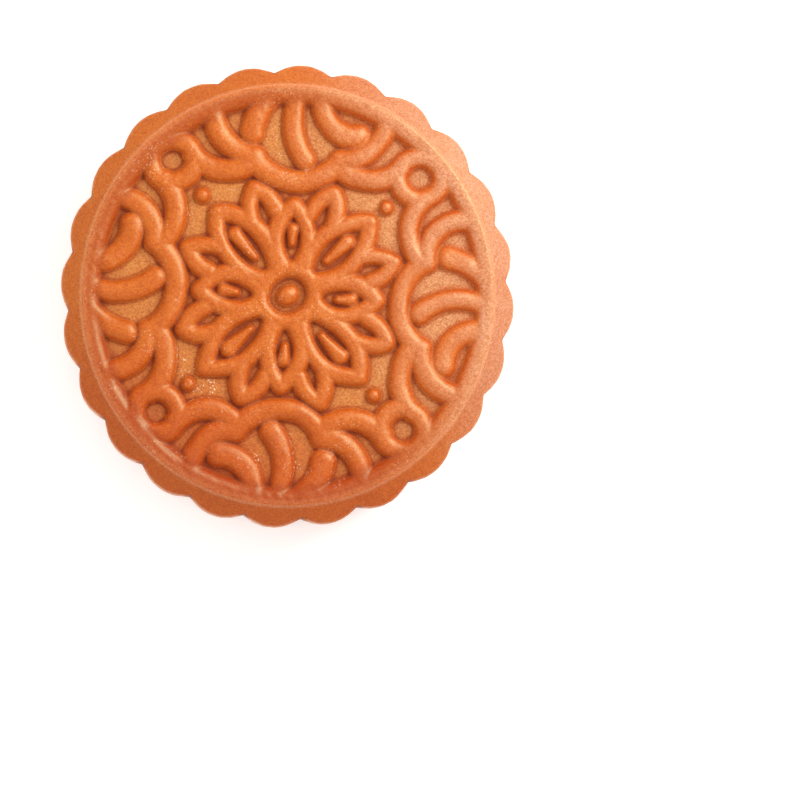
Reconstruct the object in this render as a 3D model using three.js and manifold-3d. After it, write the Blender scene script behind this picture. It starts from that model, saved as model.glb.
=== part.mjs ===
// A round moulded mooncake: a baked pastry drum with a scalloped, slightly tapered wall, a bevelled shelf
// round a raised rim and a relief of rounded ridges on its sunken top. The whole cake is one solid.
//
// Millimetres, +Z up. The origin is the centre of the flat base, and one border panel faces +Y.
import * as THREE from "three";
import Module from "manifold-3d";

const wasm = await Module();
wasm.setup();

// ---- Driving dimensions -------------------------------------------------------------------------------

const CAKE_DIAMETER = 80; // over opposite scallops, where the wall is widest
const CAKE_HEIGHT = 35; // base to the top of the ridges in the middle
const OVALITY = 0.01; // the cake is this share longer along Y, and shorter along X
const DOME = 0.8; // the cake's rim is this much lower than its middle
const PANELS = 4; // the border repeats this many times around the top

const SCALLOPS = 24;
const SCALLOP_DEPTH = 1.4; // a groove's bottom, in from the crowns beside it
const WALL_TAPER = 0.7; // the wall's foot stands this far in from its top
const BASE_ROUND = { width: 3, height: 5 }; // the rounded bottom edge

const SHOULDER_WIDTH = 4; // from the widest part of the wall in to the rim's crest
const STEP = { width: 0.8, drop: 0.8 }; // from the crest out and down to the shelf
const SHELF_SLOPE = 0.67; // the shelf is a cone that the scallops cut
const SHELF_EDGE = 0.9; // radius of the edge between shelf and wall

const RIM_HEIGHT = 1.8; // the rim's crest above the relief's floor
const RIM_WIDTH = 3.2; // the rim's crest to the foot of its inner flank
const RIM_POWER = 3.5; // a cross-section: 2 is a parabola, more is squarer
const ROPE_POWER = 3.6; // the same for the ridges of the relief

// The border: each panel is a cartouche of ropes round three petals, and rings stand between the panels.
const BORDER_HEIGHT = 1.75; // of a rope or ring above the floor
const BORDER_ROPE = 2.1; // half the width of a rope
const WAIST = { end: { x: 7.6, y: 23.7 }, bow: 4.1 }; // bows towards the middle between its two ends
const BRACKET = { start: { x: 7.6, y: 24 }, end: { x: 15.2, y: 31.3 }, bow: 2.3 }; // waist to rim
const LOOP = { start: { x: 8, y: 22.3 }, end: { x: 18.4, y: 23.2 }, bow: 2.1 }; // waist to ring
const RING_DISTANCE = 30.8; // a ring's centre from the cake's axis
const RING_RADIUS = 3.75;
const RING_ROPE = 1.95;

const PETAL_HEIGHT = 1.65;
const PETAL_ROOT = 34.6; // the petals leave the rim on this line
const PETALS = [
  { root: -4.6, tip: { x: -8.3, y: 27.9 }, bow: 0.8, halfWidths: [2.1, 2.25] },
  { root: -0.4, tip: { x: 1.5, y: 23.4 }, bow: 1.7, halfWidths: [1.9, 2.15] },
  { root: 3.9, tip: { x: 10.4, y: 28.1 }, bow: 2.2, halfWidths: [2.1, 2.3] },
];

// The middle: a lotus with a broad petal and a bead towards each ring and a narrow petal between each two.
// The tips of back petals show on both sides of a broad one. Spreads are in degrees from a petal's middle.
const LOTUS_HEIGHT = 1.65;
const LOTUS_ROPE = 1.7; // half the width of a petal's outline
const SEED_RADIUS = 1.9;
const POD_RADIUS = 4.6;
const BROAD_PETAL = { foot: 5.6, spread: 17, tip: 19, bow: 2.7 };
const BROAD_VEIN = { from: 9, to: 14, halfWidths: [0.8, 1.6] };
const NARROW_PETAL = { foot: 5.6, spread: 17, tip: 15.5, bow: 2.1 };
const NARROW_VEIN = { from: 9, to: 11.4, halfWidths: [0.8, 1.3] };
const BACK_PETAL = { foot: 14.6, spread: 9, tip: 19.3, bow: 0.6 };
const BACK_PETAL_TURN = 24; // from the middle of the broad petal beside it
const BEAD = { distance: 23, radius: 1.4 };

const CAKE_RADIUS = CAKE_DIAMETER / 2;
const CREST_RADIUS = CAKE_RADIUS - SHOULDER_WIDTH;
const NOTCH_RADIUS = CREST_RADIUS + STEP.width; // where the step meets the shelf
const FLOOR_Z = CAKE_HEIGHT - LOTUS_HEIGHT;
const CREST_Z = FLOOR_Z + RIM_HEIGHT;

// Sampling: smooth ridges in a few thousand triangles.
const STEPS_PER_SCALLOP = 6;
const RIDGE_STEP = 3.3; // along a ridge
const RIDGE_TURNS = [-1.1, -0.7, 0, 0.7, 1.1]; // across a ridge: it meets the floor at -1 and 1
const RING_STEPS = 14; // round a full circle
const CAP_REACH = [0.9, 0.5]; // sections of a round end, in half-widths past the end of the centreline
const DOME_TURNS = [0.3, 0.7, 1.1]; // sections of a dome, from its flat top to under the floor
const DOME_STEPS = 12;
const NEARLY_STRAIGHT = 1e-3; // the bow of a straight ridge

// ---- Helpers ------------------------------------------------------------------------------------------

const lerp = THREE.MathUtils.lerp;

// The height across a ridge as a share of its crest's: it leaves the floor at t = -1 and comes back at 1.
const crown = (t, power = ROPE_POWER) => 1 - Math.abs(t) ** power;

function polar(radius, degrees) {
  const angle = THREE.MathUtils.degToRad(degrees);
  return new THREE.Vector2(radius * Math.cos(angle), radius * Math.sin(angle));
}

// A closed surface from rings of points. A loop joins its last ring to its first, and any other sweep has
// a flat cap at each end. Each ring runs anticlockwise as seen by someone who looks along the sweep.
function sweepGeometry(rings, loop = false) {
  const across = rings[0].length;
  const vertex = (ring, point) => (ring % rings.length) * across + (point % across);
  const triangles = [];
  const spans = loop ? rings.length : rings.length - 1;
  for (let i = 0; i < spans; i++) {
    for (let j = 0; j < across; j++) {
      triangles.push(vertex(i, j), vertex(i + 1, j), vertex(i + 1, j + 1));
      triangles.push(vertex(i, j), vertex(i + 1, j + 1), vertex(i, j + 1));
    }
  }
  for (let j = 1; j < across - 1 && !loop; j++) {
    triangles.push(vertex(0, 0), vertex(0, j), vertex(0, j + 1));
    triangles.push(vertex(spans, 0), vertex(spans, j + 1), vertex(spans, j));
  }
  const geometry = new THREE.BufferGeometry().setFromPoints(rings.flat());
  geometry.setIndex(new THREE.BufferAttribute(Uint32Array.from(triangles), 1));
  return geometry;
}

function solidOf(geometry) {
  return new wasm.Manifold(
    new wasm.Mesh({
      numProp: 3,
      vertProperties: geometry.getAttribute("position").array,
      triVerts: geometry.getIndex().array,
    }),
  );
}

// Copies of some geometries, repeated around the cake's axis.
function repeated(geometries, times) {
  return Array.from({ length: times }, (_, k) =>
    geometries.map((geometry) => geometry.clone().rotateZ((2 * Math.PI * k) / times)),
  ).flat();
}

// ---- The cake's body ----------------------------------------------------------------------------------

// The half-section where the scallops cut the outline by an inset: from the relief's floor over the rim,
// down the step and the shelf, then down the wall to the base.
function bodySection(inset) {
  const section = [1, 0.6, 0].map((across) => ({
    radius: CREST_RADIUS - RIM_WIDTH * across,
    height: FLOOR_Z + RIM_HEIGHT * crown(across, RIM_POWER),
  }));
  const shelfZ = (radius) => CREST_Z - STEP.drop - SHELF_SLOPE * (radius - NOTCH_RADIUS);
  section.push({ radius: NOTCH_RADIUS, height: shelfZ(NOTCH_RADIUS) });

  const tilt = Math.atan(SHELF_SLOPE);
  const shelfEnd = CAKE_RADIUS - inset - SHELF_EDGE * (1 - Math.sin(tilt));
  section.push({ radius: shelfEnd, height: shelfZ(shelfEnd) });
  section.push({ radius: CAKE_RADIUS - inset, height: shelfZ(shelfEnd) - SHELF_EDGE * Math.cos(tilt) });
  for (const angle of [0, Math.PI / 4, Math.PI / 2]) {
    const turnedIn = 1 - Math.cos(angle);
    section.push({
      radius: CAKE_RADIUS - WALL_TAPER - inset * (1 - turnedIn / 2) - BASE_ROUND.width * turnedIn,
      height: BASE_ROUND.height * (1 - Math.sin(angle)),
    });
  }
  return section;
}

// How deep the outline lies at a step around the cake, from 0 on a scallop's crown to 1 in a groove.
function scallopDip(step) {
  const fromCrown = ((step / STEPS_PER_SCALLOP + 0.5) % 1) * 2 - 1;
  return fromCrown ** 2;
}

function bodyGeometry() {
  const steps = SCALLOPS * STEPS_PER_SCALLOP;
  const sections = Array.from({ length: steps }, (_, step) =>
    bodySection(SCALLOP_DEPTH * scallopDip(step)).map(({ radius, height }) => {
      const { x, y } = polar(radius, (360 * step) / steps);
      return new THREE.Vector3(x, y, height);
    }),
  );
  const rings = sections[0].map((_, i) => sections.map((section) => section[i]));
  return sweepGeometry(rings);
}

// ---- Ridges -------------------------------------------------------------------------------------------

// One section of a ridge, where its centreline passes a point on a heading.
function ridgeSection(point, heading, halfWidth, height) {
  const left = new THREE.Vector2(-heading.y, heading.x);
  return RIDGE_TURNS.map((t) => {
    const foot = point.clone().addScaledVector(left, t * halfWidth);
    return new THREE.Vector3(foot.x, foot.y, FLOOR_Z + height * crown(t));
  });
}

// The centreline of a ridge: an arc between two points whose middle stands bow to the left of its chord.
function arc(start, end, bow) {
  const chord = new THREE.Vector2(end.x - start.x, end.y - start.y);
  const halfTurn = 2 * Math.atan((2 * bow) / chord.length());
  const radius = chord.length() / 2 / Math.sin(halfTurn);
  const length = 2 * halfTurn * radius;
  const direction = THREE.MathUtils.radToDeg(chord.angle());
  const turn = THREE.MathUtils.radToDeg(halfTurn);
  return {
    length,
    headingAt(share) {
      return polar(1, direction + turn * (1 - 2 * share));
    },
    pointAt(share) {
      const reach = 2 * radius * Math.sin(halfTurn * share); // the chord from the start to this point
      return polar(reach, direction + turn * (1 - share)).add(start);
    },
  };
}

// A ridge along an arc, with a half-width at its start and one at its end. Its round ends reach past the
// ends of the centreline.
function ridgeGeometry({ start, end, bow, halfWidths, height }) {
  const line = arc(start, end, bow);
  const steps = Math.max(1, Math.round(line.length / RIDGE_STEP));
  const cap = (share, side) =>
    CAP_REACH.map((reach) => {
      const heading = line.headingAt(share);
      const point = line.pointAt(share).addScaledVector(heading, side * reach * halfWidths[share]);
      const scale = Math.sqrt(1 - reach ** 2);
      return ridgeSection(point, heading, halfWidths[share] * scale, height * scale);
    });
  const middle = Array.from({ length: steps + 1 }, (_, i) => {
    const share = i / steps;
    return ridgeSection(line.pointAt(share), line.headingAt(share), lerp(...halfWidths, share), height);
  });
  return sweepGeometry([...cap(0, -1), ...middle, ...cap(1, 1).reverse()]);
}

// A ridge round a full circle.
function ringGeometry(centre, radius, halfWidth, height) {
  const rings = Array.from({ length: RING_STEPS }, (_, i) => {
    const outward = polar(1, (360 * i) / RING_STEPS);
    const heading = new THREE.Vector2(-outward.y, outward.x);
    return ridgeSection(centre.clone().addScaledVector(outward, radius), heading, halfWidth, height);
  });
  return sweepGeometry(rings, true);
}

function domeGeometry(centre, radius, height) {
  const rings = DOME_TURNS.map((t) =>
    Array.from({ length: DOME_STEPS }, (_, i) => {
      const { x, y } = polar(radius * t, (360 * i) / DOME_STEPS).add(centre);
      return new THREE.Vector3(x, y, FLOOR_Z + height * crown(t));
    }),
  );
  return sweepGeometry(rings);
}

// ---- The border ---------------------------------------------------------------------------------------

// The panel that faces +Y, and the ring at its right.
function borderPanel() {
  const rope = { halfWidths: [BORDER_ROPE, BORDER_ROPE], height: BORDER_HEIGHT };
  const mirrored = ({ x, y }) => ({ x: -x, y });
  const geometries = [
    ridgeGeometry({ ...rope, start: mirrored(WAIST.end), end: WAIST.end, bow: -WAIST.bow }),
    ringGeometry(polar(RING_DISTANCE, 45), RING_RADIUS, RING_ROPE, BORDER_HEIGHT),
  ];
  for (const { start, end, bow } of [BRACKET, LOOP]) {
    geometries.push(ridgeGeometry({ ...rope, start, end, bow: -bow }));
    geometries.push(ridgeGeometry({ ...rope, start: mirrored(start), end: mirrored(end), bow }));
  }
  for (const { root, tip, bow, halfWidths } of PETALS) {
    const start = { x: root, y: PETAL_ROOT };
    geometries.push(ridgeGeometry({ start, end: tip, bow: -bow, halfWidths, height: PETAL_HEIGHT }));
  }
  return geometries;
}

// ---- The lotus ----------------------------------------------------------------------------------------

// The two sides of a pointed petal whose middle lies in a direction.
function petalOutline(direction, { foot, spread, tip, bow }) {
  return [-1, 1].map((side) =>
    ridgeGeometry({
      start: polar(foot, direction + side * spread),
      end: polar(tip, direction),
      bow: side * bow,
      halfWidths: [LOTUS_ROPE, LOTUS_ROPE],
      height: LOTUS_HEIGHT,
    }),
  );
}

// A drop-shaped vein that lies along a direction.
function petalVein(direction, { from, to, halfWidths }) {
  return ridgeGeometry({
    start: polar(from, direction),
    end: polar(to, direction),
    bow: NEARLY_STRAIGHT,
    halfWidths,
    height: LOTUS_HEIGHT,
  });
}

function lotus() {
  const centre = new THREE.Vector2();
  const corner = 45;
  const quarter = [
    ...petalOutline(corner, BROAD_PETAL),
    petalVein(corner, BROAD_VEIN),
    ...petalOutline(0, NARROW_PETAL),
    petalVein(0, NARROW_VEIN),
    ...petalOutline(corner - BACK_PETAL_TURN, BACK_PETAL),
    ...petalOutline(corner + BACK_PETAL_TURN, BACK_PETAL),
    domeGeometry(polar(BEAD.distance, corner), BEAD.radius, LOTUS_HEIGHT),
  ];
  return [
    domeGeometry(centre, SEED_RADIUS, LOTUS_HEIGHT),
    ringGeometry(centre, POD_RADIUS, LOTUS_ROPE, LOTUS_HEIGHT),
    ...repeated(quarter, PANELS),
  ];
}

// ---- Assembly -----------------------------------------------------------------------------------------

// Lowers everything a little with its distance from the axis. The base stays flat.
function dome(geometry) {
  const position = geometry.getAttribute("position");
  for (let i = 0; i < position.count; i++) {
    const outward = Math.hypot(position.getX(i), position.getY(i)) / CREST_RADIUS;
    position.setZ(i, position.getZ(i) * (1 - (DOME / CAKE_HEIGHT) * outward ** 2));
  }
}

function mooncakeGeometry() {
  const geometries = [bodyGeometry(), ...lotus(), ...repeated(borderPanel(), PANELS)];
  const cake = wasm.Manifold.union(geometries.map(solidOf)).getMesh();
  const geometry = new THREE.BufferGeometry();
  geometry.setAttribute("position", new THREE.BufferAttribute(cake.vertProperties, 3));
  geometry.setIndex(new THREE.BufferAttribute(cake.triVerts, 1));
  dome(geometry);
  geometry.scale(1 - OVALITY, 1 + OVALITY, 1);
  geometry.computeVertexNormals();
  return geometry;
}

const crust = new THREE.MeshStandardMaterial({ color: 0xd4743f, roughness: 0.5, metalness: 0 });
const mooncake = new THREE.Mesh(mooncakeGeometry(), crust);
mooncake.name = "mooncake";

const group = new THREE.Group();
group.add(mooncake);

export default group;
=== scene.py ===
import math

import bpy
import numpy as np
from mathutils import Matrix, Vector


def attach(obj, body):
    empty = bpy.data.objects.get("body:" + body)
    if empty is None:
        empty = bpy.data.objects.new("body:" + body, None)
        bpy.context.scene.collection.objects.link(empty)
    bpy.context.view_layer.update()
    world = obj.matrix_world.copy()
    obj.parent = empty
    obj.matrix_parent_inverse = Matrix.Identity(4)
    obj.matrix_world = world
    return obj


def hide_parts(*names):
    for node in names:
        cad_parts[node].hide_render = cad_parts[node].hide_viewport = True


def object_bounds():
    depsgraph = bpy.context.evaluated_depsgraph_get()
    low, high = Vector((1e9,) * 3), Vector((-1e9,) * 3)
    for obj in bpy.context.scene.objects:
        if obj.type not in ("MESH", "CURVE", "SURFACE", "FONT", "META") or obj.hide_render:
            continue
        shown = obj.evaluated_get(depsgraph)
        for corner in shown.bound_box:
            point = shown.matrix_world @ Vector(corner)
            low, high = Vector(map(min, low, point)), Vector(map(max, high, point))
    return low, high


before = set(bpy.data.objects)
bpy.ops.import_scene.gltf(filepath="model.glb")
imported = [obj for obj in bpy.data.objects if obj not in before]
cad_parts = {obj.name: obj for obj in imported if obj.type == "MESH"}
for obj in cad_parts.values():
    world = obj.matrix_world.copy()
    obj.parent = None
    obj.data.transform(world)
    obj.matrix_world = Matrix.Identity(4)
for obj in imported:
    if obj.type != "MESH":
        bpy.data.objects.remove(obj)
cad_low, cad_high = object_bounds()

# A round moulded mooncake, seen from almost straight above. Shapes are worked out in millimetres, in the
# frame of the CAD model, and go into the mesh in metres. The relief is a height map over the cake's top.

MM = 0.001

# ---- The cake's form ----------------------------------------------------------------------------------

OVALITY = 0.01  # the cake is this share longer along Y, and shorter along X
CAKE_RADIUS = (cad_high[0] - cad_low[0]) / 2 / MM / (1 - OVALITY)
CAKE_HEIGHT = (cad_high[2] - cad_low[2]) / MM
DOME = 0.8  # the rim's crest is this much lower than it would be on a flat cake
PANELS = 4

SCALLOPS = 24
SCALLOP_DEPTH = 1.4
GROOVE_SOFTNESS = 0.05  # of the sharp groove between two scallops, as a share of a scallop's half-width
WALL_TAPER = 0.7  # the wall's foot stands this far in from its top
WALL_BULGE = 0.25
BASE_ROUND = {"width": 3.0, "height": 5.0}
BASE_FLATTENING = 0.5  # this share of the scallops' depth is gone at the foot

CREST_RADIUS = CAKE_RADIUS - 4.0
STEP = {"width": 0.8, "drop": 0.8}  # from the rim's crest out and down to the shelf
SHELF_SLOPE = 0.67  # the shelf is a cone that the scallops cut
SHELF_EDGE = 0.9  # radius of the edge between shelf and wall

RIM_HEIGHT = 1.8
RIM_WIDTH = 3.2
RIM_POWER = 3.5
ROPE_POWER = 2.3  # a ridge's cross-section: power 2 and root 0.5 are an ellipse
ROPE_ROOT = 0.6

BORDER_HEIGHT = 1.75
BORDER_ROPE = 2.1
WAIST = {"end": (7.6, 23.7), "bow": 4.1}
BRACKET = {"start": (7.6, 24.0), "end": (15.2, 31.3), "bow": 2.3}
LOOP = {"start": (8.0, 22.3), "end": (18.4, 23.2), "bow": 2.1}
RING_DISTANCE = 30.8
RING_RADIUS = 3.75
RING_ROPE = 1.95

PETAL_HEIGHT = 1.65
PETAL_ROOT = 34.6
PETALS = (
    {"root": -4.6, "tip": (-8.3, 27.9), "bow": 0.8, "half_widths": (2.1, 2.25)},
    {"root": -0.4, "tip": (1.5, 23.4), "bow": 1.7, "half_widths": (1.9, 2.15)},
    {"root": 3.9, "tip": (10.4, 28.1), "bow": 2.2, "half_widths": (2.1, 2.3)},
)

LOTUS_HEIGHT = 1.65
LOTUS_ROPE = 1.7
SEED_RADIUS = 1.9
POD_RADIUS = 4.6
BROAD_PETAL = {"foot": 5.6, "spread": 17, "tip": 19, "bow": 2.7}
BROAD_VEIN = {"start": 9, "end": 14, "half_widths": (0.8, 1.6)}
NARROW_PETAL = {"foot": 5.6, "spread": 17, "tip": 15.5, "bow": 2.1}
NARROW_VEIN = {"start": 9, "end": 11.4, "half_widths": (0.8, 1.3)}
BACK_PETAL = {"foot": 14.6, "spread": 9, "tip": 19.3, "bow": 0.6}
BACK_PETAL_TURN = 24
BEAD_DISTANCE = 23
BEAD_RADIUS = 1.4

FLOOR_Z = CAKE_HEIGHT - LOTUS_HEIGHT
NOTCH_RADIUS = CREST_RADIUS + STEP["width"]
NOTCH_Z = FLOOR_Z + RIM_HEIGHT - STEP["drop"]

# ---- How the dough departs from the mould's form ------------------------------------------------------

SEED = 7
PATTERN_SWAY = 0.16  # sideways drift of the ridges
SWAY_WAVELENGTH = 13
HEIGHT_SWAY = 0.06
HEIGHT_WAVELENGTH = 9
CREASE_BLEND = 0.15  # how far two ridges run into each other, in height
RIM_BLEND = 0.35
RELIEF_BLUR = 0.09
LUMP_HEIGHT = 0.03  # fine unevenness of the whole skin
LUMP_WAVELENGTH = 2.2
SCALLOP_SPREAD = 0.12  # how much the scallops differ in depth

# ---- Where the crust's colour changes -----------------------------------------------------------------

# Each pair says where a rise starts and ends. The edges are distances from the rim's crest, outward.
TOP_EDGE = (0.1, -0.5)  # the relief tints the crust inside this edge only
CREST_INNER_EDGE = (-1.0, -0.4)
CREST_OUTER_EDGE = (0.9, 0.4)
RIM_INNER_EDGE = (-4.2, -2.4)
SHELF_START = (0.2, STEP["width"])
GROOVE_RISE = (0.5, 1)  # of the outline's dip between two scallops
FLANK_SLOPE = (0.5, 1.4)
HOLLOW_REACH = 0.45  # a hollow is where the skin lies below its surroundings, this far around
SHELTER_REACH = 1.6  # the same in a wider sense
GROOVE_HOLLOW = 0.25  # what a groove between two scallops counts as, so that it gets painted crease shade
GROOVE_SHELTER = 0.5
WALL_TOP_BARENESS = 0.5  # the glaze gets this much thinner over the shelf's edge
GLAZE_FADE = 0.25  # and runs out over this share of the wall's height

# ---- The mesh -----------------------------------------------------------------------------------------

DISC_RINGS = 152  # around the top's centre; ring k has 6 k vertices
AROUND = 6 * DISC_RINGS
MAP_STEP = 0.1  # of the height map
SHELF_BANDS = (0.2, 0.4, 0.6, 0.8, 1.0)
EDGE_BANDS = (0.25, 0.5, 0.75, 1.0)
WALL_BANDS = 12
BASE_BANDS = 6
UNDERSIDE_BANDS = (0.66, 0.33)


def srgb(red, green, blue):
    """A linear colour with alpha from 8-bit display values."""
    linear = [((c / 255 + 0.055) / 1.055) ** 2.4 for c in (red, green, blue)]
    return (*linear, 1.0)


def smooth(low, high, value):
    """A smooth rise from 0 at low to 1 at high."""
    share = np.clip((value - low) / (high - low), 0, 1)
    return share * share * (3 - 2 * share)


# ---- Relief: arcs, rings and dots on the sunken top ---------------------------------------------------


def polar(radius, degrees):
    angle = math.radians(degrees)
    return radius * math.cos(angle), radius * math.sin(angle)


def turned(point, degrees):
    angle = math.radians(degrees)
    x, y = point
    return x * math.cos(angle) - y * math.sin(angle), x * math.sin(angle) + y * math.cos(angle)


def crown(t, power, root=1.0):
    """The height across a ridge as a share of its crest's: 0 at its feet, where t is -1 and 1."""
    rise = 1 - np.abs(t) ** power
    return np.where(rise > 0, np.abs(rise) ** root, np.maximum(rise, -1))


def arc_offset(x, y, start, end, bow, half_widths):
    """How far points lie from an arc, in half-widths of the ridge that runs along it."""
    start, end = np.array(start, float), np.array(end, float)
    chord = end - start
    span = np.hypot(*chord)
    if bow == 0:
        along = ((x - start[0]) * chord[0] + (y - start[1]) * chord[1]) / span**2
        share = np.clip(along, 0, 1)
        near_x, near_y = start[0] + chord[0] * share, start[1] + chord[1] * share
    else:
        side = math.copysign(1, bow)
        left = np.array([-chord[1], chord[0]]) / span
        radius = (span**2 / 4 + bow**2) / (2 * abs(bow))
        centre = (start + end) / 2 + side * left * (abs(bow) - radius)
        central_angle = 4 * math.atan(2 * abs(bow) / span)
        middle = math.atan2(side * left[1], side * left[0])
        angle = (np.arctan2(y - centre[1], x - centre[0]) - middle + np.pi) % (2 * np.pi) - np.pi
        share = np.clip(0.5 - side * angle / central_angle, 0, 1)
        nearest = middle - side * (share - 0.5) * central_angle
        near_x = centre[0] + radius * np.cos(nearest)
        near_y = centre[1] + radius * np.sin(nearest)
    half_width = half_widths[0] + (half_widths[1] - half_widths[0]) * share
    return np.hypot(x - near_x, y - near_y) / half_width


def merged(a, b, blend):
    """The higher of two heights, with a fillet where they meet."""
    share = np.clip(0.5 + 0.5 * (a - b) / blend, 0, 1)
    return b + (a - b) * share + blend * share * (1 - share)


def waves(x, y, wavelength, amplitude, rng, count=9):
    """Smooth noise: a sum of plane waves in random directions, mostly within the amplitude."""
    total = np.zeros_like(x)
    for direction, phase, stretch in rng.random((count, 3)):
        angle = 2 * np.pi * direction
        length = wavelength * (0.6 + 0.8 * stretch)
        along = (x * math.cos(angle) + y * math.sin(angle)) / length
        total += np.sin(2 * np.pi * (along + phase))
    return amplitude * total / math.sqrt(count)


class Relief:
    """A square height map of the top, in millimetres above the relief's floor."""

    def __init__(self):
        self.reach = CAKE_RADIUS + 5
        steps = int(2 * self.reach / MAP_STEP) + 1
        self.axis = np.linspace(-self.reach, self.reach, steps)
        self.step = self.axis[1] - self.axis[0]
        self.x, self.y = np.meshgrid(self.axis, self.axis)
        rng = np.random.default_rng(SEED)
        self.x_swayed = self.x + waves(self.x, self.y, SWAY_WAVELENGTH, PATTERN_SWAY, rng)
        self.y_swayed = self.y + waves(self.x, self.y, SWAY_WAVELENGTH, PATTERN_SWAY, rng)
        swell = waves(self.x, self.y, HEIGHT_WAVELENGTH, HEIGHT_SWAY, rng)
        self.swell = 1 - HEIGHT_SWAY + np.minimum(swell, HEIGHT_SWAY)
        self.height = np.zeros_like(self.x)

    def window(self, points, margin):
        """The part of the map around some points."""
        xs, ys = zip(*points)
        rows = np.searchsorted(self.axis, (min(ys) - margin, max(ys) + margin))
        columns = np.searchsorted(self.axis, (min(xs) - margin, max(xs) + margin))
        return slice(*rows), slice(*columns)

    def put(self, part, offset, height):
        """Merges a ridge into a part of the map. Offset is the distance from its crest in half-widths."""
        ridge = height * crown(offset, ROPE_POWER, ROPE_ROOT) * self.swell[part]
        below = self.height[part]
        self.height[part] = np.minimum(merged(ridge, below, CREASE_BLEND), np.maximum(below, height))

    def ridge(self, start, end, bow, half_widths, height):
        part = self.window((start, end), abs(bow) + max(half_widths) + 1)
        offset = arc_offset(self.x_swayed[part], self.y_swayed[part], start, end, bow, half_widths)
        self.put(part, offset, height)

    def ring(self, centre, radius, half_width, height):
        part = self.window((centre,), radius + half_width + 1)
        distance = np.hypot(self.x_swayed[part] - centre[0], self.y_swayed[part] - centre[1])
        self.put(part, np.abs(distance - radius) / half_width, height)

    def dome(self, centre, radius, height):
        self.ring(centre, 0, radius, height)

    def rim(self):
        """Adds the rim, the step outside it and the shelf."""
        radius = np.hypot(self.x, self.y)
        across = np.clip((CREST_RADIUS - radius) / RIM_WIDTH, 0, None)
        inside = merged(RIM_HEIGHT * crown(across, RIM_POWER), self.height, RIM_BLEND)
        inside = np.minimum(inside, RIM_HEIGHT)
        outside = RIM_HEIGHT - STEP["drop"] * smooth(0, STEP["width"], radius - CREST_RADIUS)
        shelf = np.clip(radius - NOTCH_RADIUS, 0, None) * SHELF_SLOPE
        self.height = np.where(radius < CREST_RADIUS, inside, outside - shelf)

    def blurred(self, radius):
        """The heights blurred by a bell curve, whose radius is in millimetres."""
        cells = radius / self.step
        reach = np.arange(-int(3 * cells) - 1, int(3 * cells) + 2)
        weights = np.exp(-0.5 * (reach / cells) ** 2)
        weights /= weights.sum()
        values = self.height
        for axis in (0, 1):
            values = np.apply_along_axis(np.convolve, axis, values, weights, mode="same")
        return values

    def sampled(self, values, x, y):
        """A map's values at some points, by linear steps between its cells."""
        columns, rows = (x + self.reach) / self.step, (y + self.reach) / self.step
        j = np.clip(columns.astype(int), 0, len(self.axis) - 2)
        i = np.clip(rows.astype(int), 0, len(self.axis) - 2)
        right, up = columns - j, rows - i
        low = values[i, j] * (1 - right) + values[i, j + 1] * right
        high = values[i + 1, j] * (1 - right) + values[i + 1, j + 1] * right
        return low * (1 - up) + high * up


def border_panel(relief, turn):
    """One panel of the border, turned from the one that faces +Y, and the ring at its right."""

    def rope(start, end, bow):
        half_widths = (BORDER_ROPE, BORDER_ROPE)
        relief.ridge(turned(start, turn), turned(end, turn), bow, half_widths, BORDER_HEIGHT)

    def mirrored(point):
        return -point[0], point[1]

    for petal in PETALS:
        start, end = turned((petal["root"], PETAL_ROOT), turn), turned(petal["tip"], turn)
        relief.ridge(start, end, -petal["bow"], petal["half_widths"], PETAL_HEIGHT)
    rope(mirrored(WAIST["end"]), WAIST["end"], -WAIST["bow"])
    for side in (BRACKET, LOOP):
        rope(side["start"], side["end"], -side["bow"])
        rope(mirrored(side["start"]), mirrored(side["end"]), side["bow"])
    relief.ring(polar(RING_DISTANCE, 45 + turn), RING_RADIUS, RING_ROPE, BORDER_HEIGHT)


def petal_outline(relief, direction, foot, spread, tip, bow):
    for side in (-1, 1):
        start = polar(foot, direction + side * spread)
        relief.ridge(start, polar(tip, direction), side * bow, (LOTUS_ROPE, LOTUS_ROPE), LOTUS_HEIGHT)


def petal_vein(relief, direction, start, end, half_widths):
    relief.ridge(polar(start, direction), polar(end, direction), 0, half_widths, LOTUS_HEIGHT)


def lotus(relief):
    relief.dome((0, 0), SEED_RADIUS, LOTUS_HEIGHT)
    relief.ring((0, 0), POD_RADIUS, LOTUS_ROPE, LOTUS_HEIGHT)
    for turn in range(0, 360, 360 // PANELS):
        corner = 45 + turn
        petal_outline(relief, corner, **BROAD_PETAL)
        petal_vein(relief, corner, **BROAD_VEIN)
        petal_outline(relief, turn, **NARROW_PETAL)
        petal_vein(relief, turn, **NARROW_VEIN)
        for side in (-1, 1):
            petal_outline(relief, corner + side * BACK_PETAL_TURN, **BACK_PETAL)
        relief.dome(polar(BEAD_DISTANCE, corner), BEAD_RADIUS, LOTUS_HEIGHT)


def carved_top():
    """The whole relief, a little softened."""
    relief = Relief()
    lotus(relief)
    for turn in range(0, 360, 360 // PANELS):
        border_panel(relief, turn)
    relief.rim()
    relief.height = relief.blurred(RELIEF_BLUR)
    return relief


# ---- The skin: top, shelf, wall and base as one closed mesh -------------------------------------------


def disc_vertices():
    """Points of rings around the centre, as fractions of the disc's radius."""
    points = [(0.0, 0.0)]
    for k in range(1, DISC_RINGS + 1):
        angles = 2 * np.pi * np.arange(6 * k) / (6 * k)
        points.extend(zip(k / DISC_RINGS * np.cos(angles), k / DISC_RINGS * np.sin(angles)))
    return np.array(points)


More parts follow.
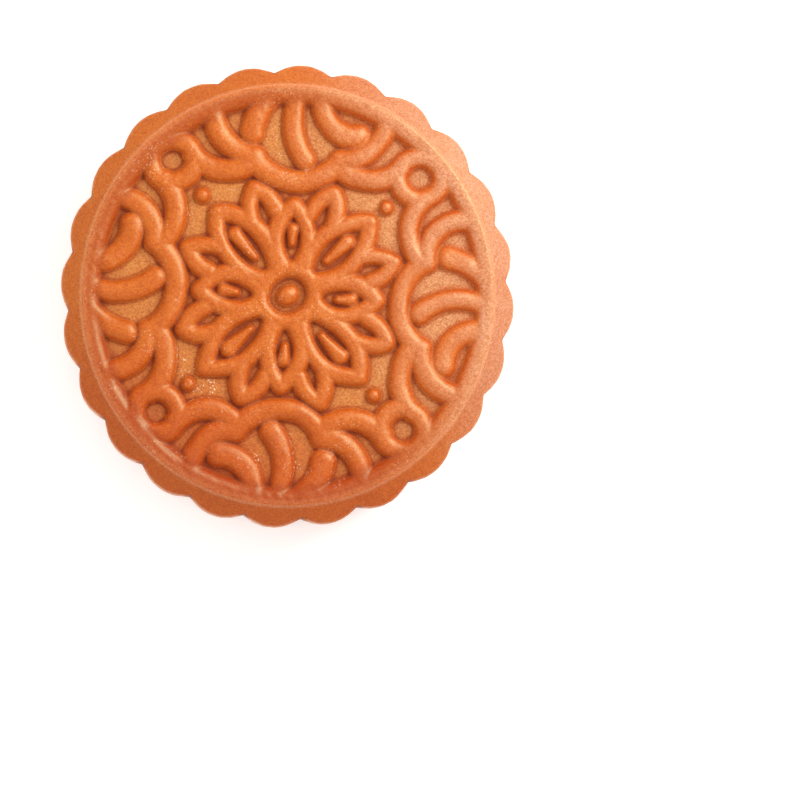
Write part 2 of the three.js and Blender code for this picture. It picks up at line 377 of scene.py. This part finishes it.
def disc_faces():
    faces = [(0, 1 + j, 1 + (j + 1) % 6) for j in range(6)]
    for k in range(1, DISC_RINGS):
        inner_first, outer_first = 1 + 3 * k * (k - 1), 1 + 3 * (k + 1) * k
        for sextant in range(6):
            outer = outer_first + sextant * (k + 1) + np.arange(k + 1)
            outer_next = outer_first + (outer + 1 - outer_first) % (6 * k + 6)
            inner = inner_first + (sextant * k + np.arange(k + 1)) % (6 * k)
            faces.extend(zip(inner, outer, outer_next))
            faces.extend(zip(inner[:-1], outer_next[:-1], inner[1:]))
    return faces


def scallop_dip(angles, rng):
    """How deep the outline lies around the cake, from 0 on a scallop's crown to about 1 in a groove."""
    turns = angles / (2 * np.pi) * SCALLOPS + 0.5
    from_crown = np.abs(turns % 1 * 2 - 1)
    from_groove = np.sqrt((1 - from_crown) ** 2 + GROOVE_SOFTNESS**2) - GROOVE_SOFTNESS * from_crown
    depth = 1 + SCALLOP_SPREAD * (2 * rng.random(SCALLOPS) - 1)
    mine = depth[turns.astype(int) % SCALLOPS]
    neighbour = depth[(turns.astype(int) + np.where(turns % 1 < 0.5, -1, 1)) % SCALLOPS]
    return (1 - from_groove) ** 2 * (mine + (neighbour - mine) * 0.5 * from_crown**2)


def side_rings(outline):
    """Rings of (radii, heights, bareness) from the notch outside the rim to the foot of the base.

    The outline is the cake's radius around it. Bareness is 0 on the glazed shelf and 1 on the bare wall.
    """
    rings = []
    slope_angle = math.atan(SHELF_SLOPE)
    shelf_end = outline - SHELF_EDGE * (1 - math.sin(slope_angle))
    shelf_end_z = NOTCH_Z - SHELF_SLOPE * (shelf_end - NOTCH_RADIUS)
    for share in SHELF_BANDS:
        radii = NOTCH_RADIUS + (shelf_end - NOTCH_RADIUS) * share
        rings.append((radii, NOTCH_Z - SHELF_SLOPE * (radii - NOTCH_RADIUS), 0.0))
    wall_top = shelf_end_z - SHELF_EDGE * math.cos(slope_angle)
    for share in EDGE_BANDS:
        angle = slope_angle + (math.pi / 2 - slope_angle) * share
        radii = outline - SHELF_EDGE * (1 - math.sin(angle))
        rings.append((radii, wall_top + SHELF_EDGE * math.cos(angle), WALL_TOP_BARENESS * share))
    for share in np.linspace(0, 1, WALL_BANDS + 1)[1:]:
        bulge = WALL_BULGE * 4 * share * (1 - share)
        heights = wall_top + (BASE_ROUND["height"] - wall_top) * share
        bareness = WALL_TOP_BARENESS + (1 - WALL_TOP_BARENESS) * smooth(0, GLAZE_FADE, share)
        rings.append((outline - WALL_TAPER * share + bulge, heights, bareness))
    for angle in np.radians(np.linspace(0, 90, BASE_BANDS + 1)[1:]):
        inset = BASE_ROUND["width"] * (1 - math.cos(angle))
        height = np.full_like(outline, BASE_ROUND["height"] * (1 - math.sin(angle)))
        flattening = BASE_FLATTENING * (1 - math.cos(angle))
        flattened = CAKE_RADIUS + (outline - CAKE_RADIUS) * (1 - flattening)
        rings.append((flattened - WALL_TAPER - inset, height, 1.0))
    return rings


def skin_points(relief, rng):
    """The skin's points on the mould's form, with their bareness and how far they lie in a groove.

    Also the number of rings around the disc of the top.
    """
    disc = disc_vertices() * NOTCH_RADIUS
    angles = 2 * np.pi * np.arange(AROUND) / AROUND
    dip = scallop_dip(angles, rng)
    rings = side_rings(CAKE_RADIUS - SCALLOP_DEPTH * dip)
    last_radii = rings[-1][0]
    for share in UNDERSIDE_BANDS:
        rings.append((last_radii * share, np.zeros(AROUND), 1.0))

    x = np.concatenate([disc[:, 0], *(radii * np.cos(angles) for radii, _, _ in rings), [0]])
    y = np.concatenate([disc[:, 1], *(radii * np.sin(angles) for radii, _, _ in rings), [0]])
    top_z = FLOOR_Z + relief.sampled(relief.height, *disc.T)
    z = np.concatenate([top_z, *(heights for _, heights, _ in rings), [0]])
    bare = np.concatenate([np.zeros(len(disc)), *(np.full(AROUND, b) for _, _, b in rings), [1]])
    groove = smooth(*GROOVE_RISE, np.concatenate([np.zeros(len(disc)), *(dip for _ in rings), [0]]))
    return x, y, z, bare, groove, len(rings)


def skin_attributes(relief, x, y, bare, groove):
    """What the crust's colour depends on, at every point of the skin.

    Ridge is the height as a share of the rim's. Hollow and shelter say how far a point lies below its
    surroundings, near and wide. Flank is how steep it is. The others say where it lies.
    """
    hollow_map = relief.blurred(HOLLOW_REACH) - relief.height
    shelter_map = relief.blurred(SHELTER_REACH) - relief.height
    steepness_map = np.hypot(*np.gradient(relief.height, relief.step))
    from_crest = np.hypot(x, y) - CREST_RADIUS
    on_top = bare == 0
    inside = smooth(*TOP_EDGE, from_crest)
    flank = smooth(*FLANK_SLOPE, relief.sampled(steepness_map, x, y)) * inside
    return {
        "ridge": np.where(on_top, relief.sampled(relief.height, x, y) / RIM_HEIGHT, 1),
        "hollow": np.where(on_top, relief.sampled(hollow_map, x, y) * inside, GROOVE_HOLLOW * groove),
        "shelter": np.where(on_top, relief.sampled(shelter_map, x, y) * inside, GROOVE_SHELTER * groove),
        "flank": np.where(on_top, flank, 0),
        "crest": smooth(*CREST_INNER_EDGE, from_crest) * smooth(*CREST_OUTER_EDGE, from_crest) * on_top,
        "rim": smooth(*RIM_INNER_EDGE, from_crest) * inside,
        "shelf": smooth(*SHELF_START, from_crest),
        "bare": bare,
    }


def baked(x, y, z, on_top, rng):
    """The points with fine lumps, except on the flat base, and with the cake's dome and oval outline.

    The lumps only take away, so that the cake keeps its box.
    """
    lumps = waves(x, y, LUMP_WAVELENGTH, 0.5, rng) + waves(x + y, z, LUMP_WAVELENGTH, 0.5, rng)
    depth = LUMP_HEIGHT * np.clip(1 + lumps, 0, 2) * smooth(0, BASE_ROUND["height"], z)
    z = np.where(on_top, z - depth, z)
    spread = np.where(on_top, 1, 1 - depth / CAKE_RADIUS)
    z = z * (1 - DOME / CAKE_HEIGHT * (np.hypot(x, y) / CREST_RADIUS) ** 2)
    return x * spread * (1 - OVALITY), y * spread * (1 + OVALITY), z


def skin_faces(ring_count, point_count):
    """The disc of the top, a band from ring to ring, and a fan on the underside."""
    faces = disc_faces()
    around = np.arange(AROUND)
    after = (around + 1) % AROUND
    centre = point_count - 1
    first = centre - (ring_count + 1) * AROUND
    for _ in range(ring_count):
        second = first + AROUND
        faces.extend(zip(first + around, second + around, second + after, first + after))
        first = second
    faces.extend(zip(first + around, np.full(AROUND, centre), first + after))
    return faces


def skin_mesh():
    relief = carved_top()
    rng = np.random.default_rng(SEED + 1)
    x, y, z, bare, groove, ring_count = skin_points(relief, rng)
    attributes = skin_attributes(relief, x, y, bare, groove)
    vertices = np.column_stack(baked(x, y, z, bare == 0, rng)) * MM
    faces = skin_faces(ring_count, len(vertices))

    mesh = bpy.data.meshes.new("mooncake_crust")
    mesh.from_pydata(vertices.tolist(), [], [tuple(int(v) for v in face) for face in faces])
    for name, values in attributes.items():
        attribute = mesh.attributes.new(name, "FLOAT", "POINT")
        attribute.data.foreach_set("value", values.astype(np.float32))
    mesh.shade_smooth()
    return mesh


# ---- Materials ----------------------------------------------------------------------------------------


class Nodes:
    """A short way to write a material's nodes."""

    def __init__(self, name):
        self.material = bpy.data.materials.new(name)
        self.material.use_nodes = True
        self.tree = self.material.node_tree
        self.tree.nodes.clear()

    def add(self, kind, inputs=None, **settings):
        node = self.tree.nodes.new("ShaderNode" + kind)
        for name, value in settings.items():
            setattr(node, name, value)
        for name, value in (inputs or {}).items():
            if isinstance(value, bpy.types.NodeSocket):
                self.tree.links.new(value, node.inputs[name])
            else:
                node.inputs[name].default_value = value
        return node

    def attribute(self, name):
        return self.add("Attribute", attribute_name=name, attribute_type="GEOMETRY").outputs["Fac"]

    def ramp(self, value, low, high, start=0.0, end=1.0):
        """A smooth change from start, where the value is low, to end, where it is high."""
        inputs = {"Value": value, "From Min": low, "From Max": high, "To Min": start, "To Max": end}
        return self.add("MapRange", inputs, interpolation_type="SMOOTHSTEP").outputs["Result"]

    def math(self, operation, *values):
        return self.add("Math", dict(enumerate(values)), operation=operation).outputs["Value"]

    def mix(self, factor, a, b, blend="MIX"):
        node = self.add("Mix", {"Factor": factor}, data_type="RGBA", blend_type=blend)
        for socket, value in (("A_Color", a), ("B_Color", b)):
            target = next(s for s in node.inputs if s.identifier == socket)
            if isinstance(value, bpy.types.NodeSocket):
                self.tree.links.new(value, target)
            else:
                target.default_value = value
        return next(s for s in node.outputs if s.identifier == "Result_Color")

    def tinted(self, color, noise, strength, spread):
        """A colour that noise darkens and pales; its full strength lies this spread from the noise's mean."""
        dark = self.ramp(noise, 0.5, 0.5 - spread, 0.0, strength)
        pale = self.ramp(noise, 0.5, 0.5 + spread, 0.0, strength)
        tint = self.mix(pale, self.mix(dark, PLAIN_TINT, DARK_TINT), PALE_TINT)
        return self.mix(1.0, color, tint, "MULTIPLY")

    def side(self, place, direction):
        """A rise from 0 at the cake's middle to 1 at its edge on one side."""
        reach = Vector(direction) / (CAKE_RADIUS * MM)
        share = self.add("VectorMath", {0: place, 1: reach}, operation="DOT_PRODUCT").outputs["Value"]
        return self.ramp(share, 0, 1)

    def noise(self, place, size, detail, roughness):
        """Noise from 0 to 1 whose grains are about size metres across."""
        inputs = {"Vector": place, "Scale": 1 / size, "Detail": detail, "Roughness": roughness}
        return self.add("TexNoise", inputs).outputs["Fac"]

    def grains(self, place, size):
        """Grains about size metres across: how far their middle is, and two random values for each."""
        cells = self.add("TexVoronoi", {"Vector": place, "Scale": 1 / size})
        values = self.add("SeparateColor", {"Color": cells.outputs["Color"]}).outputs
        return cells.outputs["Distance"], values["Red"], values["Green"]

    def finish(self, shader):
        self.add("OutputMaterial", {"Surface": shader})
        return self.material


# The crust's colours, and the painted light and shade laid over them. A tint is what a colour is multiplied
# by.
FLOOR_COLOR = srgb(206, 112, 40)
RIDGE_COLOR = srgb(208, 94, 15)
# Painted light and sheen on the lit side of ridges and floors.
PAINTED_LIGHT_COLOR = srgb(210, 140, 100)
SHELF_COLOR = srgb(199, 91, 16)
# Painted light on the lit side of the shelf.
SHELF_PAINTED_LIGHT_COLOR = srgb(203, 121, 81)
# A paler band along the rim's crest; its growth towards the lit side is a painted highlight.
CREST_BAND_AND_HIGHLIGHT_COLOR = srgb(210, 128, 80)
# Painted shade in the creases; lighter and more orange on the lit side.
CREASE_SHADE_COLOR = srgb(146, 38, 2)
LIT_SIDE_CREASE_SHADE_COLOR = srgb(176, 70, 14)
WALL_COLOR = srgb(210, 130, 72)
FOOT_COLOR = srgb(176, 86, 32)
# Painted glints on some grains.
PAINTED_GLINT_COLOR = srgb(255, 236, 205)
PLAIN_TINT = (1, 1, 1, 1)
DARK_TINT = (0.80, 0.60, 0.45, 1)  # of the darkest specks
PALE_TINT = (1.10, 1.45, 2.00, 1)  # of the palest specks
# Painted shade on steep flanks, more saturated on the lit side.
FLANK_SHADE_TINT = (0.84, 0.72, 0.55, 1)
LIT_SIDE_FLANK_SHADE_TINT = (0.84, 0.58, 0.38, 1)
SHADED_SIDE_TINT = (0.92, 0.70, 0.30, 1)  # painted shade on the side away from the light
# Painted shade on the rim, fading towards the lit side.
RIM_SHADE_TINT = (0.80, 0.62, 0.34, 1)

LIT_SIDE = (0.93, 0.37, 0)  # the lit side, where light and sheen are painted into the crust, seen from the cake's middle
# The side away from the light, where shade is painted into the crust, seen from the cake's middle.
SHADED_SIDE = (-0.25, -0.97, 0)

# How the colours set in: from which value to which, and from which share to which where it isn't 0 to 1.
RIDGE_RISE = (0.10, 0.45)
SHADED_FLOOR_RISE = (0.0, 1.0, 0.0, 0.5)  # how much of the ridges' colour the floor takes on towards the side away from the light: painted shade
# Painted light and sheen towards the lit side, on floors, ridge tops, shelf and crest.
FLOOR_PAINTED_LIGHT = (1.0, 0.0, 0.0, 0.6)  # from ridge to floor
RIDGE_PAINTED_LIGHT = (0.62, 0.97, 0.06, 0.72)
SHELF_PAINTED_LIGHT = (0.2, 1.0)
CREST_BAND_AND_HIGHLIGHT = (0.0, 1.0, 0.25, 0.8)
GLAZE_END = (0.65, 1.3)
GLAZE_END_SWAY = 0.8
FOOT_RISE = (6 * MM, 0.0, 0.0, 0.5)
# Painted shade in sheltered places and creases, on the rim and on the side away from the light.
SHELTER_SHADE_RISE = (0.25, 1.1, 0.0, 0.4)
CREASE_SHADE_RISE = (0.04, 0.35, 0.0, 0.85)
LIT_SIDE_CREASE_SHADE_LOSS = (0.0, 1.0, 1.0, 0.6)
LIT_SIDE_RIM_SHADE_LOSS = (0.0, 0.8, 1.0, 0.0)
SHADED_SIDE_RISE = (0.2, 0.9)

MOTTLE = {"size": 6 * MM, "detail": 3.0, "roughness": 0.55}
MOTTLE_TINT = {"strength": 0.3, "spread": 0.3}
SPECKLE = {"size": 0.4 * MM, "detail": 2.0, "roughness": 0.6}
SPECKLE_TINT = {"strength": 0.38, "spread": 0.2}
GRAIN_SIZE = 0.2 * MM
GRAIN_STRENGTH = (0.0, 1.0, 1.0, 0.7)  # from floor to ridge
GRAIN_SPREAD = 0.45
GLINT_PATCHES = (0.5, 0.6)  # of the mottle
GLINT_GRAINS = (0.94, 0.97)  # of a grain's own random value
FLOOR_GLINTS = (1.0, 0.0, 0.25, 0.8)  # from ridge to floor
LIT_SIDE_GLINT_LOSS = (0.5, 0.0)
SHELF_GLINT_LOSS = (0.5, 0.0)
SHELTER_GLINT_LOSS = (0.7, 0.3)
BUMP = {"Strength": 0.5, "Distance": 0.05 * MM}
ROUGHNESS = (0.0, 1.0, 0.65, 0.4)  # from floor to ridge
HOLLOW_ROUGHNESS = (0.0, 0.2, 0.0, 0.3)  # added in the hollows
CRUST_SURFACE = {
    "IOR": 1.52,
    "Specular IOR Level": 1.0,
    "Specular Tint": (0.75, 1.0, 0.6, 1),
    "Subsurface Weight": 0.12,
    "Subsurface Radius": (1.0, 0.35, 0.15),
    "Subsurface Scale": 1.0 * MM,
}


def crust_material():
    nodes = Nodes("baked_crust")
    place = nodes.add("TexCoord").outputs["Object"]
    ridge, hollow = nodes.attribute("ridge"), nodes.attribute("hollow")
    shelter, flank = nodes.attribute("shelter"), nodes.attribute("flank")
    crest, rim = nodes.attribute("crest"), nodes.attribute("rim")
    shelf, bare = nodes.attribute("shelf"), nodes.attribute("bare")
    # pale rises towards the lit side, where light and sheen are painted in; deep rises towards the side away
    # from the light, where shade is painted in.
    pale, deep = nodes.side(place, LIT_SIDE), nodes.side(place, SHADED_SIDE)
    lit_side_tone = nodes.ramp(pale, 0.0, 1.0)
    above_base = nodes.add("SeparateXYZ", {"Vector": place}).outputs["Z"]
    high = nodes.math("MAXIMUM", nodes.ramp(ridge, *RIDGE_RISE), shelf)
    mottle, speckle = nodes.noise(place, **MOTTLE), nodes.noise(place, **SPECKLE)
    from_grain, grain_tone, grain_shine = nodes.grains(place, GRAIN_SIZE)

    # Floors and ridges, with painted light and sheen on the lit side and painted shade on their steep flanks.
    # glazed also takes in the floors towards the side away from the light, so that they get the ridges'
    # colour as painted shade.
    glazed = nodes.math("MAXIMUM", high, nodes.ramp(deep, *SHADED_FLOOR_RISE))
    color = nodes.mix(glazed, FLOOR_COLOR, RIDGE_COLOR)
    floor_painted_light, ridge_painted_light = nodes.ramp(high, *FLOOR_PAINTED_LIGHT), nodes.ramp(ridge, *RIDGE_PAINTED_LIGHT)
    painted_light = nodes.math("MULTIPLY", pale, nodes.math("MAXIMUM", floor_painted_light, ridge_painted_light))
    color = nodes.mix(painted_light, color, PAINTED_LIGHT_COLOR)
    flank_shade_tint = nodes.mix(lit_side_tone, FLANK_SHADE_TINT, LIT_SIDE_FLANK_SHADE_TINT)
    color = nodes.mix(flank, color, flank_shade_tint, "MULTIPLY")

    # The shelf with painted light on its lit side, the wall where the glaze ends, and the browned foot.
    shelf_color_and_painted_light = nodes.mix(nodes.ramp(pale, *SHELF_PAINTED_LIGHT), SHELF_COLOR, SHELF_PAINTED_LIGHT_COLOR)
    color = nodes.mix(shelf, color, shelf_color_and_painted_light)
    glaze_end = nodes.math("MULTIPLY_ADD", mottle, GLAZE_END_SWAY, bare)
    color = nodes.mix(nodes.ramp(glaze_end, *GLAZE_END), color, WALL_COLOR)
    color = nodes.mix(nodes.ramp(above_base, *FOOT_RISE), color, FOOT_COLOR)

    # Painted shade in the creases, on the side away from the light and on the rim; then the crest's paler
    # band, whose growth towards the lit side is a painted highlight.
    crease_shade_color = nodes.mix(lit_side_tone, CREASE_SHADE_COLOR, LIT_SIDE_CREASE_SHADE_COLOR)
    crease_shade = nodes.math("MULTIPLY", nodes.ramp(hollow, *CREASE_SHADE_RISE), nodes.ramp(pale, *LIT_SIDE_CREASE_SHADE_LOSS))
    color = nodes.mix(nodes.ramp(shelter, *SHELTER_SHADE_RISE), color, crease_shade_color)
    color = nodes.mix(crease_shade, color, crease_shade_color)
    color = nodes.mix(nodes.ramp(deep, *SHADED_SIDE_RISE), color, SHADED_SIDE_TINT, "MULTIPLY")
    shaded_rim = nodes.math("MULTIPLY", rim, nodes.ramp(pale, *LIT_SIDE_RIM_SHADE_LOSS))
    color = nodes.mix(shaded_rim, color, RIM_SHADE_TINT, "MULTIPLY")
    color = nodes.mix(nodes.math("MULTIPLY", crest, nodes.ramp(pale, *CREST_BAND_AND_HIGHLIGHT)), color, CREST_BAND_AND_HIGHLIGHT_COLOR)

    # Patches, specks and grains. Some grains get a painted glint, mostly on sandy patches of the floors.
    color = nodes.tinted(color, mottle, **MOTTLE_TINT)
    color = nodes.tinted(color, speckle, **SPECKLE_TINT)
    color = nodes.tinted(color, grain_tone, nodes.ramp(high, *GRAIN_STRENGTH), GRAIN_SPREAD)
    painted_glint = nodes.ramp(grain_shine, *GLINT_GRAINS)
    for share in (
        nodes.ramp(mottle, *GLINT_PATCHES),
        nodes.ramp(high, *FLOOR_GLINTS),
        nodes.ramp(pale, *LIT_SIDE_GLINT_LOSS),
        nodes.ramp(shelf, *SHELF_GLINT_LOSS),
        nodes.ramp(shelter, *SHELTER_GLINT_LOSS),
    ):
        painted_glint = nodes.math("MULTIPLY", painted_glint, share)
    color = nodes.mix(painted_glint, color, PAINTED_GLINT_COLOR)

    bumps = nodes.math("SUBTRACT", speckle, from_grain)
    bump = nodes.add("Bump", {"Height": bumps, **BUMP})
    roughness = nodes.math("ADD", nodes.ramp(high, *ROUGHNESS), nodes.ramp(hollow, *HOLLOW_ROUGHNESS))
    inputs = {"Base Color": color, "Roughness": roughness, "Normal": bump.outputs["Normal"], **CRUST_SURFACE}
    return nodes.finish(nodes.add("BsdfPrincipled", inputs).outputs["BSDF"])


STAGE_WIDTH = 6.0
STAGE_WHITE = (0.94, 0.94, 0.94, 1)
STAGE_ROUGHNESS = 0.9
STAGE_GLOW = 0.35  # keeps the floor as bright as the studio around it


def floor_material():
    nodes = Nodes("pale_floor")
    inputs = {
        "Base Color": STAGE_WHITE,
        "Roughness": STAGE_ROUGHNESS,
        "Emission Color": STAGE_WHITE,
        "Emission Strength": STAGE_GLOW,
    }
    return nodes.finish(nodes.add("BsdfPrincipled", inputs).outputs["BSDF"])


# ---- The object, floor, lights and camera -------------------------------------------------------------


def linked(name, data):
    thing = bpy.data.objects.new(name, data)
    bpy.context.scene.collection.objects.link(thing)
    return thing


def build_cake():
    cake = linked("mooncake_crust", skin_mesh())
    cake.data.materials.append(crust_material())
    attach(cake, "root")
    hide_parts("mooncake")


def build_floor():
    half = STAGE_WIDTH / 2
    mesh = bpy.data.meshes.new("floor")
    corners = [(-half, -half, 0), (half, -half, 0), (half, half, 0), (-half, half, 0)]
    mesh.from_pydata(corners, [], [(0, 1, 2, 3)])
    floor = linked("floor", mesh)
    floor.data.materials.append(floor_material())


TOP_CENTRE = Vector((0, 0, CAKE_HEIGHT * MM))
KEY_LIGHT = {"azimuth": 129, "elevation": 42, "distance": 0.32, "size": 0.22, "brightness": 0.84}
FILL_LIGHT = {"azimuth": -95, "elevation": 30, "distance": 0.25, "size": 0.16, "brightness": 0.12}
STUDIO_BRIGHTNESS = 0.94


def toward(azimuth, elevation):
    """A direction from the cake. Azimuth 0 is -Y, and it grows towards +X."""
    a, e = math.radians(azimuth), math.radians(elevation)
    return Vector((math.sin(a) * math.cos(e), -math.cos(a) * math.cos(e), math.sin(e)))


def soft_light(name, azimuth, elevation, distance, size, brightness):
    """A round softbox. Its brightness is that of a white surface square to it at the cake's top."""
    data = bpy.data.lights.new(name, "AREA")
    data.shape = "DISK"
    data.size = size
    data.energy = brightness * (math.pi * distance) ** 2
    light = linked(name, data)
    light.location = TOP_CENTRE + distance * toward(azimuth, elevation)
    light.rotation_euler = toward(azimuth, elevation).to_track_quat("Z", "Y").to_euler()
    return light


def build_lights():
    soft_light("key", **KEY_LIGHT)
    fill = soft_light("fill", **FILL_LIGHT)
    fill.visible_glossy = False
    world = bpy.data.worlds.new("studio")
    bpy.context.scene.world = world
    world.use_nodes = True
    background = world.node_tree.nodes["Background"]
    background.inputs["Color"].default_value = (1, 1, 1, 1)
    background.inputs["Strength"].default_value = STUDIO_BRIGHTNESS
    world.cycles_visibility.glossy = False
    bpy.context.scene.view_settings.view_transform = "Standard"


PICTURE_SIZE = 800  # pixels, both ways
SENSOR_WIDTH = 36
PIXELS_PER_MM = 5.75
CAKE_MIDDLE = (288.1, 295.0)  # where the middle of the cake's top lies in the picture
PATTERN_TURN = 3.9  # degrees clockwise in the picture
CAMERA_AZIMUTH = -45
CAMERA_ELEVATION = 87.4
CAMERA_DISTANCE = 1.5


def build_camera():
    data = bpy.data.cameras.new("camera")
    data.sensor_width = SENSOR_WIDTH
    data.lens = data.sensor_width * CAMERA_DISTANCE / (PICTURE_SIZE / PIXELS_PER_MM * MM)
    camera = linked("camera", data)
    back = toward(CAMERA_AZIMUTH, CAMERA_ELEVATION)
    turn = math.radians(PATTERN_TURN)
    up = Vector((-math.sin(turn), math.cos(turn), 0))
    right = up.cross(back).normalized()
    up = back.cross(right)
    aim = TOP_CENTRE
    aim = aim + right * (PICTURE_SIZE / 2 - CAKE_MIDDLE[0]) / PIXELS_PER_MM * MM
    aim = aim - up * (PICTURE_SIZE / 2 - CAKE_MIDDLE[1]) / PIXELS_PER_MM * MM
    rotation = Matrix((right, up, back)).transposed()
    camera.matrix_world = Matrix.Translation(aim + back * CAMERA_DISTANCE) @ rotation.to_4x4()
    bpy.context.scene.camera = camera


build_camera()
build_lights()
build_floor()
build_cake()
